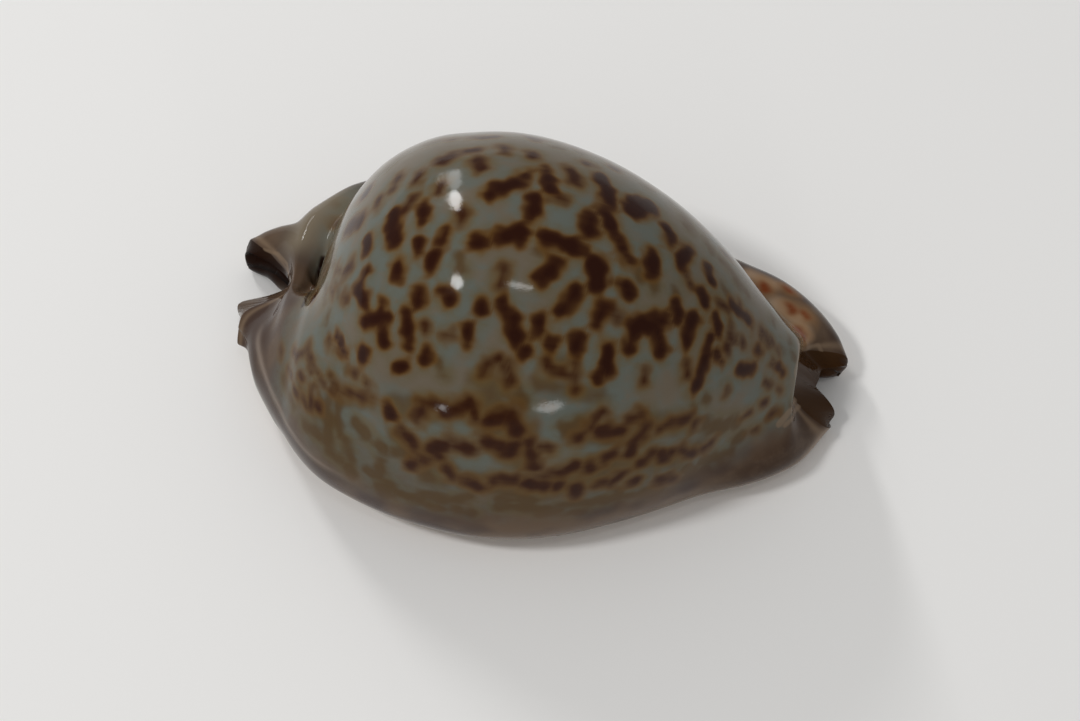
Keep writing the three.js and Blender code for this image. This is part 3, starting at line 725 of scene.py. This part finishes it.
form_x, form_y, form_z = (points - shift).T
near_margin = 1 - step(*NEAR_FILM_ABOVE, form_z)
far_margin = 1 - step(*FAR_FILM_ABOVE, form_z)
side_share = step(*NEAR_TO_FAR_ACROSS, form_y)
film = mix(near_margin, far_margin, side_share)
from_middle = np.abs(form_y - REAR_FILM_MIDDLE)
rear_end = 1 - step(*REAR_FILM_ALONG, form_x + REAR_FILM_BEND * from_middle)
low_rear = rear_end * (1 - step(*REAR_FILM_ABOVE, form_z))
film = np.maximum(film, low_rear)
veil = (1 - step(*VEIL_ABOVE, form_z)) * (1 - side_share) * (1 - step(*VEIL_ALONG, form_x))
under = 1 - step(*UNDERSIDE_ABOVE, form_z)
by_slot = 1 - step(*FROM_SLOT, np.abs(form_y - aperture_line(form_x)))
# Painted shade: the hollow inside the shell, the inner side of the lips and, near the tips, the whole
# lips are painted near black (dark brown at the front canal), as shade falls there. Near the rear tip on
# the near side this is mostly lifted.
hollow_shade_row = np.zeros(per_section)
lip_shade = step(*LIP_SHADE, np.arange(1, LIP_POINTS + 1) / (LIP_POINTS + 1))
hollow_shade_row[OUTER_POINTS:] = 1
hollow_shade_row[OUTER_POINTS : OUTER_POINTS + LIP_POINTS] = lip_shade
hollow_shade_row[-LIP_POINTS:] = lip_shade[::-1]
lip_row = np.zeros(per_section)
lip_row[OUTER_POINTS:] = 1
to_tip = np.minimum(stations - REAR, FRONT - stations)
hollow_shade = mix(hollow_shade_row[None, :], lip_row[None, :], 1 - step(*LIPS_FROM_TIP, to_tip))
hollow_shade[0] = np.maximum(hollow_shade[0], step(*REAR_END_ACROSS, grid[0, :, 1]))
hollow_shade[-1] = 1
near_tip = 1 - step(*NEAR_TIP_ALONG, stations - REAR)
near_tip = near_tip * (1 - step(*NEAR_TIP_ACROSS, grid[:, :, 1] - middle - shift[1]))
hollow_shade = hollow_shade * (1 - NEAR_TIP_PALER * near_tip)
front_near = step(*BROWN_NEAR["along"], form_x) * (1 - step(*BROWN_NEAR["across"], form_y))
front_near = front_near * (1 - step(*BROWN_NEAR["above"], form_z))
front_lobe = step(*FRONT_LOBE["along"], form_x) * step(*FRONT_LOBE["across"], form_y)
front_edge = 1 - step(*FRONT_EDGE["inward"], flange_far(form_x) - form_y)
front_edge = step(*FRONT_EDGE["along"], form_x) * front_edge
browned = [front_near, front_lobe * BROWN_LOBE, front_edge * BROWN_EDGE, low_rear * BROWN_REAR]
front_end = step(*FRONT_CAVITY_ALONG, stations)
# A pale line just in from each tip: partly the rim's paler callus, partly a painted highlight on its
# rounded edge.
near_rim = bell(to_tip - RIM_LINE_IN, RIM_LINE_WIDTH)
on_lip = np.zeros(per_section)
on_lip[OUTER_POINTS : OUTER_POINTS + LIP_POINTS] = LIP_TINT
on_lip[-LIP_POINTS:] = LIP_TINT
# Painted light along the near rear keel: a painted highlight line on its edge, and painted shade on the
# side that turns under below it.
rear_keel = (1 - step(*KEEL["front"], form_x)) * step(*KEEL["rear"], form_x)
rear_keel = rear_keel * (1 - step(*KEEL["across"], form_y))
for name, values in {
    "browned_ends": np.maximum.reduce(browned),
    "film": film,
    "veil": veil,
    "underside": under,
    "by_slot": by_slot,
    # far crest: partly the ground's warmer tone there, partly painted shade
    "crest_warmth_and_shade": step(*CREST_ACROSS, form_y) * step(*CREST_ABOVE, form_z),
    "hollow_shade": hollow_shade,
    "front_end": everywhere(front_end),
    "rim_line_and_highlight": np.where(is_outer.reshape(sections, per_section), near_rim, 0),
    "lip": everywhere(on_lip),
    "keel_highlight": rear_keel * bell(form_z - KEEL_HIGHLIGHT_ABOVE, KEEL_HIGHLIGHT_WIDTH),
    "shade_under_keel": rear_keel * (1 - step(*SHADE_UNDER_KEEL_ABOVE, form_z)),
    "spire_patch": near_line(form_x, form_y, **SPIRE_PATCH) * step(*SPIRE_PATCH_ABOVE, form_z),
}.items():
    keep_attribute(name, values)

# Two rows of low rounded teeth cross the lips and run out over the base as ribs. They
# are the shell's own callus; here the wall's lips are raised and sunk along the rows.
TOOTH_HEIGHT = 0.55  # mm
FURROW_DEPTH = 0.4  # mm
UNEVENNESS = 0.3
TOOTH_SEED = 5
ROW_FADE = 0.06  # of a row, over which the furrows fade out at its ends


def add(tree, kind, links=None, **settings):
    """Adds a node, sets its properties and sockets, and links sockets to it."""
    node = tree.nodes.new(kind)
    for name, value in settings.items():
        setattr(node, name, value)
    for socket, source in (links or {}).items():
        target = node.inputs[socket]
        if isinstance(source, bpy.types.NodeSocket):
            tree.links.new(source, target)
        else:
            target.default_value = source
    return node


teeth_tree = bpy.data.node_groups.new("rows_of_teeth", "GeometryNodeTree")
ports = teeth_tree.interface
ports.new_socket("Geometry", in_out="INPUT", socket_type="NodeSocketGeometry")
ports.new_socket("Geometry", in_out="OUTPUT", socket_type="NodeSocketGeometry")
for name, kind, value in [
    ("Teeth", "NodeSocketFloat", TEETH),
    ("Row start", "NodeSocketFloat", TEETH_REAR * MM),
    ("Row end", "NodeSocketFloat", TEETH_FRONT * MM),
    ("Tooth height", "NodeSocketFloat", TOOTH_HEIGHT * MM),
    ("Furrow depth", "NodeSocketFloat", FURROW_DEPTH * MM),
    ("Unevenness", "NodeSocketFloat", UNEVENNESS),
    ("Seed", "NodeSocketInt", TOOTH_SEED),
    ("Finish", "NodeSocketMaterial", None),
]:
    port = ports.new_socket(name, in_out="INPUT", socket_type=kind)
    if value is not None:
        port.default_value = value

given = add(teeth_tree, "NodeGroupInput").outputs


def named(name, data_type="FLOAT"):
    node = add(teeth_tree, "GeometryNodeInputNamedAttribute", {"Name": name}, data_type=data_type)
    return node.outputs["Attribute"]


def count(operation, a, b=0.0):
    return add(teeth_tree, "ShaderNodeMath", {0: a, 1: b}, operation=operation).outputs[0]


def stretched(vector, factor):
    return add(
        teeth_tree, "ShaderNodeVectorMath", {0: vector, "Scale": factor}, operation="SCALE"
    ).outputs[0]


station = named("station")
row_length = count("SUBTRACT", given["Row end"], given["Row start"])
in_row = count("DIVIDE", count("SUBTRACT", station, given["Row start"]), row_length)
tooth_number = count("MULTIPLY", in_row, given["Teeth"])
turns = count("MULTIPLY", tooth_number, 2 * math.pi)
wave = count("SUBTRACT", 0.5, count("MULTIPLY", count("COSINE", turns), 0.5))
on_row = count("MULTIPLY", count("GREATER_THAN", in_row, 0), count("LESS_THAN", in_row, 1.0))
luck = add(
    teeth_tree,
    "FunctionNodeRandomValue",
    {"ID": count("FLOOR", tooth_number), "Seed": given["Seed"]},
    data_type="FLOAT",
).outputs[1]
growth = count("SUBTRACT", 1.0, count("MULTIPLY", luck, given["Unevenness"]))
rise = count("MULTIPLY", count("MULTIPLY", wave, on_row), growth)
from_end = count("MINIMUM", in_row, count("SUBTRACT", 1.0, in_row))
fade = add(
    teeth_tree,
    "ShaderNodeMapRange",
    {"Value": from_end, "From Min": 0.0, "From Max": ROW_FADE},
    interpolation_type="SMOOTHSTEP",
).outputs[0]
sink = count("MULTIPLY", count("SUBTRACT", 1.0, wave), fade)
raised = stretched(named("tooth_rise", "FLOAT_VECTOR"), count("MULTIPLY", rise, given["Tooth height"]))
sunk = stretched(named("furrow_sink", "FLOAT_VECTOR"), count("MULTIPLY", sink, given["Furrow depth"]))
moved = add(teeth_tree, "ShaderNodeVectorMath", {0: raised, 1: sunk}, operation="ADD").outputs[0]
toothed = add(
    teeth_tree, "GeometryNodeSetPosition", {"Geometry": given["Geometry"], "Offset": moved}
).outputs[0]
kept = toothed
for name, value in [("tooth", rise), ("furrow", sink)]:
    links = {"Geometry": kept, "Name": name, "Value": value}
    store = add(teeth_tree, "GeometryNodeStoreNamedAttribute", links, data_type="FLOAT", domain="POINT")
    kept = store.outputs[0]
real = add(teeth_tree, "GeometryNodeRealizeInstances", {"Geometry": kept}).outputs[0]
finished = add(
    teeth_tree, "GeometryNodeSetMaterial", {"Geometry": real, "Material": given["Finish"]}
).outputs[0]
add(teeth_tree, "NodeGroupOutput", {"Geometry": finished})

# The finish is glazed aragonite: a hard clear enamel, as glossy as wet porcelain, over a
# blue-grey ground. That gives small sharp highlights over soft, slightly cloudy colour.
GLAZE_ROUGHNESS = (0.06, 0.1)
GLAZE_MIRROR = 0.13
HOLLOW_MIRROR = 0.03
GLAZE_BUMP = 0.0002
GLAZE_BUMP_STRENGTH = 0.04
GLAZE_IOR = 1.45
COLOURS = {
    "blue-grey ground": "#5E625B",
    "warm ground": "#675D4F",
    "pale ground": "#685E50",
    "ochre rim": "#64451B",
    "dark core": "#290D02",
    "brown core": "#3A1D08",
    "faint spot": "#4F3A1F",
    "orange spot": "#723208",
    "flesh film": "#42322C",
    "margin film": "#63503F",
    "veil": "#4F3B2C",
    "spire patch": "#766B5A",
    "base cream": "#9A8775",
    "tooth white": "#C4B5A2",
    "furrow brown": "#6A4A38",
    # painted shade of the hollow and of the slots
    "hollow": "#1E0E07",
    "canal brown and shade": "#36210F",
    "keel highlight": "#96877A",
    "pale rim and highlight": "#7E6A56",
    "olive haze": "#5C5136",
    "orange tint": "#8C6339",
    "umber wash and shade": "#3B2A1F",
    "cream wash": "#B4977A",
}
SPOT_LAYERS = [  # colour, kind of spot, from and to in mm outside its stroke, strength
    ("faint spot", "faint", 0.6, -0.45, 0.85),
    ("ochre rim", "brown", 0.95, -0.1, 0.62),
    ("ochre rim", "dark", 0.78, 0.0, 0.85),
    ("brown core", "brown", 0.5, -0.75, 1.0),
    ("brown core", "dark", 0.45, -0.3, 0.92),
    ("dark core", "brown", -0.2, -1.3, 0.8),
    ("dark core", "dark", 0.15, -0.7, 1.0),
]


def linear(hex_colour):
    """An sRGB hex colour as linear RGBA."""
    parts = [int(hex_colour[i : i + 2], 16) / 255 for i in (1, 3, 5)]
    return [p / 12.92 if p <= 0.04045 else ((p + 0.055) / 1.055) ** 2.4 for p in parts] + [1.0]


enamel = bpy.data.materials.new("glazed_aragonite")
enamel.use_nodes = True
paint = enamel.node_tree
paint.nodes.clear()
place = add(paint, "ShaderNodeTexCoord").outputs["Object"]
place = add(paint, "ShaderNodeVectorMath", {0: place, "Scale": 1 / MM}, operation="SCALE").outputs[0]


def carried(name):
    """An attribute that the shell's points carry."""
    return add(paint, "ShaderNodeAttribute", attribute_name=name).outputs["Fac"]


def clouds(scale, detail=3.0, roughness=0.55, stretch=(1, 1, 1)):
    """Soft noise with features of about 1 / scale mm."""
    turned = add(paint, "ShaderNodeMapping", {"Vector": place, "Scale": stretch}).outputs[0]
    links = {"Vector": turned, "Scale": scale, "Detail": detail, "Roughness": roughness}
    return add(paint, "ShaderNodeTexNoise", links).outputs[0]


def ramp(value, start, end, low=0.0, high=1.0):
    links = {"Value": value, "From Min": start, "From Max": end, "To Min": low, "To Max": high}
    return add(paint, "ShaderNodeMapRange", links, interpolation_type="SMOOTHSTEP").outputs[0]


def sums(operation, a, b):
    return add(paint, "ShaderNodeMath", {0: a, 1: b}, operation=operation).outputs[0]


def layer(under, colour, amount):
    """Lays a colour over another where amount is 1."""
    node = add(paint, "ShaderNodeMix", {0: amount}, data_type="RGBA")
    paint.links.new(under, node.inputs[6])
    if isinstance(colour, str):
        node.inputs[7].default_value = linear(COLOURS[colour])
    else:
        paint.links.new(colour, node.inputs[7])
    return node.outputs[2]


blotches = clouds(0.16, 3)
second_blotches = clouds(0.3, 4, 0.6, (1, 1.3, 1.3))
fine = clouds(1.3, 4, 0.6)
wobble = sums("MULTIPLY", sums("SUBTRACT", clouds(0.8, 0), 0.5), 1.1)
ground = add(paint, "ShaderNodeRGB").outputs[0]
ground.default_value = linear(COLOURS["blue-grey ground"])
colour = layer(ground, "warm ground", ramp(blotches, 0.42, 0.62))
colour = layer(colour, "pale ground", ramp(second_blotches, 0.5, 0.68, 0, 0.8))
# The far crest is painted warmer and darker: partly the ground's warmer tone, partly painted shade
# against the light that falls on it.
colour = layer(colour, "warm ground", sums("MULTIPLY", carried("crest_warmth_and_shade"), 0.6))

veil_amount = sums("MULTIPLY", carried("veil"), ramp(second_blotches, 0.3, 0.7, 0.35, 0.8))
colour = layer(colour, "veil", veil_amount)
lower_haze = ramp(sums("ADD", carried("haze"), wobble), 1.1, -0.6, 0, 0.85)
colour = layer(colour, "faint spot", lower_haze)
nearest_spot = sums("MINIMUM", carried("dark_spots"), carried("brown_spots"))
nearest_spot = sums("MINIMUM", nearest_spot, carried("faint_spots"))
haze = sums("MULTIPLY", ramp(nearest_spot, 1.5, 0.2, 0, 0.6), ramp(second_blotches, 0.35, 0.6, 0.3, 1.0))
colour = layer(colour, "olive haze", haze)
edges = {kind: sums("ADD", carried(kind + "_spots"), wobble) for kind in ("faint", "brown", "dark")}
for name, kind, outer_edge, inner_edge, strength in SPOT_LAYERS:
    colour = layer(colour, name, ramp(edges[kind], outer_edge, inner_edge, 0, strength))

film_amount = sums("ADD", carried("film"), sums("MULTIPLY", sums("SUBTRACT", blotches, 0.5), 0.5))
film_amount = ramp(film_amount, 0.25, 0.95, 0, 0.96)
film_colour = add(paint, "ShaderNodeMix", {0: ramp(clouds(0.12, 2), 0.4, 0.6)}, data_type="RGBA")
film_colour.inputs[6].default_value = linear(COLOURS["flesh film"])
film_colour.inputs[7].default_value = linear(COLOURS["margin film"])
colour = layer(colour, film_colour.outputs[2], film_amount)
mottled = sums("MULTIPLY", carried("browned_ends"), ramp(second_blotches, 0.3, 0.6, 0.45, 0.9))
colour = layer(colour, "umber wash and shade", mottled)
colour = layer(colour, "spire patch", sums("MULTIPLY", carried("spire_patch"), 0.9))
colour = layer(colour, "cream wash", ramp(carried("cream_washes"), 0.9, -0.7, 0, 0.68))
# Umber washes at the canal ends: partly the shell's own brown, partly painted shade on the canal walls.
umber_and_shade = sums("ADD", carried("umber_washes_and_shade"), wobble)
colour = layer(colour, "umber wash and shade", ramp(umber_and_shade, 0.7, -0.5, 0, 0.9))
orange = sums("ADD", carried("orange_spots"), sums("MULTIPLY", wobble, 0.6))
colour = layer(colour, "orange tint", ramp(orange, 1.8, 0.1, 0, 0.55))
colour = layer(colour, "orange spot", ramp(orange, 0.55, -0.5, 0, 0.95))
# Painted shade under the near rear keel, where the side turns away downwards.
colour = layer(colour, "canal brown and shade", sums("MULTIPLY", carried("shade_under_keel"), 0.85))
# Painted highlight along the near rear keel.
colour = layer(colour, "keel highlight", sums("MULTIPLY", carried("keel_highlight"), 0.5))
colour = layer(colour, "base cream", carried("underside"))
on_tooth = sums("MULTIPLY", carried("by_slot"), carried("tooth"))
colour = layer(colour, "tooth white", sums("MULTIPLY", carried("underside"), on_tooth))
furrow_tint = sums("MULTIPLY", carried("furrow"), carried("lip"))
# Painted shade in the hollow: near black, and towards the front canal a dark brown that is partly the
# canal's own colour.
shaded_cavity = layer(layer(ground, "hollow", 1), "canal brown and shade", carried("front_end"))
colour = layer(colour, shaded_cavity, carried("hollow_shade"))
# Pale rim lines, partly the rims' own colour and partly painted highlight.
colour = layer(colour, "pale rim and highlight", sums("MULTIPLY", carried("rim_line_and_highlight"), 0.55))
# Painted shade: the slots are painted black.
colour = layer(colour, "hollow", ramp(carried("slot_shade"), 0.25, -0.15))
colour = layer(colour, "pale rim and highlight", ramp(carried("rim_strokes_and_highlights"), 0.22, -0.05, 0, 0.6))
colour = layer(colour, "furrow brown", furrow_tint)

roughness = ramp(fine, 0.3, 0.7, *GLAZE_ROUGHNESS)
bump_links = {"Height": fine, "Strength": GLAZE_BUMP_STRENGTH, "Distance": GLAZE_BUMP}
bumps = add(paint, "ShaderNodeBump", bump_links).outputs[0]
shader = add(
    paint,
    "ShaderNodeBsdfPrincipled",
    {
        "Base Color": colour,
        "Roughness": roughness,
        "Normal": bumps,
        "IOR": GLAZE_IOR,
        "Specular IOR Level": ramp(carried("hollow_shade"), 0.2, 0.8, GLAZE_MIRROR, HOLLOW_MIRROR),
    },
).outputs[0]
add(paint, "ShaderNodeOutputMaterial", {"Surface": shader})

wall_object = bpy.data.objects.new("shell_with_teeth", shell_mesh)
link(wall_object)
teeth = wall_object.modifiers.new("teeth", "NODES")
teeth.node_group = teeth_tree
for item in ports.items_tree:
    if item.name == "Finish":
        teeth[item.identifier] = enamel
bpy.context.view_layer.update()
evaluated = wall_object.evaluated_get(bpy.context.evaluated_depsgraph_get())
finished_mesh = bpy.data.meshes.new_from_object(evaluated)
wall_object.modifiers.clear()
shell = bpy.data.objects.new("cowrie_shell", finished_mesh)
link(shell)
bpy.data.objects.remove(wall_object)
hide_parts("shell")
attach(shell, "root")

# The floor is a plain pale sweep of card, so large that its edge is never in view.
FLOOR_HALF = 3.0  # m
CARD_ROUGHNESS = 0.9
floor_mesh = bpy.data.meshes.new("floor")
corners = [(-1, -1), (1, -1), (1, 1), (-1, 1)]
floor_mesh.from_pydata([(x * FLOOR_HALF, y * FLOOR_HALF, 0) for x, y in corners], [], [(0, 1, 2, 3)])
floor = bpy.data.objects.new("floor", floor_mesh)
link(floor)
card = bpy.data.materials.new("matt_card")
card.use_nodes = True
card_shader = card.node_tree.nodes["Principled BSDF"]
card_shader.inputs["Base Color"].default_value = linear("#F2F1EF")
card_shader.inputs["Roughness"].default_value = CARD_ROUGHNESS
floor_mesh.materials.append(card)
floor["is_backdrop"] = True

# The light is soft daylight from all round, and a few small lamps that the glaze mirrors
# as sharp points. Each lamp stands where the glaze mirrors it at a pixel of the photo.
WORLD_STRENGTH = 0.42
LAMP_DISTANCE = 0.7  # m, from the glaze
REACH = 10  # pixels to each side of a highlight, between which its lamp is sized
HIGHLIGHTS = [  # name, pixel across and down, width and height in pixels, radiance
    ("window", 456, 199, 13, 24, 40),
    ("window_glow", 455, 180, 13, 22, 8),
    ("lamp_middle", 457, 283, 12, 13, 46),
    ("strip", 519, 284, 26, 5, 22),
    ("lamp_low", 553, 405, 25, 12, 16),
    ("spark_one", 441, 407, 10, 9, 18),
    ("spark_two", 456, 455, 10, 5, 16),
]
world = bpy.data.worlds.new("soft_room")
world.use_nodes = True
background = world.node_tree.nodes["Background"]
background.inputs["Color"].default_value = (1.0, 1.0, 1.0, 1.0)
background.inputs["Strength"].default_value = WORLD_STRENGTH
bpy.context.scene.world = world


def mirrored(x, y):
    """Where the glaze shows at a pixel, and the way its mirror image points from there."""
    ray = pixel_ray(x, y)
    hit, normal = wall_tree.ray_cast(eye, ray)[:2]
    return np.array(hit), np.array(ray.reflect(normal))


for name, x, y, width, height, radiance in HIGHLIGHTS:
    hit, away = mirrored(x, y)
    stand = hit + away * LAMP_DISTANCE
    first = np.cross(away, (1, 0, 0))
    first /= np.linalg.norm(first)
    plane = np.stack([first, np.cross(away, first)])
    spans = []
    for dx, dy, share in [(REACH, 0, width / 2 / REACH), (0, REACH, height / 2 / REACH)]:
        ends = []
        for sign in (1, -1):
            start, way = mirrored(x + sign * dx, y + sign * dy)
            ends.append(start + way * ((stand - start) @ away) / (way @ away))
        spans.append(plane @ (ends[0] - ends[1]) * share)
    turn, sizes, _ = np.linalg.svd(np.stack(spans, -1))
    long_axis = Vector(plane.T @ turn[:, 0])
    up = Vector(away)
    lamp_data = bpy.data.lights.new(name, "AREA")
    lamp_data.shape = "ELLIPSE"
    lamp_data.size = sizes[0]
    lamp_data.size_y = sizes[1]
    area = math.pi / 4 * sizes[0] * sizes[1]
    lamp_data.energy = radiance * math.pi * area
    lamp = bpy.data.objects.new(name, lamp_data)
    turned = Matrix((long_axis, up.cross(long_axis), up)).transposed().to_4x4()
    lamp.matrix_world = Matrix.Translation(Vector(stand)) @ turned
    link(lamp)

bpy.context.scene.view_settings.view_transform = "Standard"

dressed_low, dressed_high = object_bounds()
sizes = {
    "solid": [list(solid_low), list(solid_high)],
    "dressed": [list(dressed_low), list(dressed_high)],
}
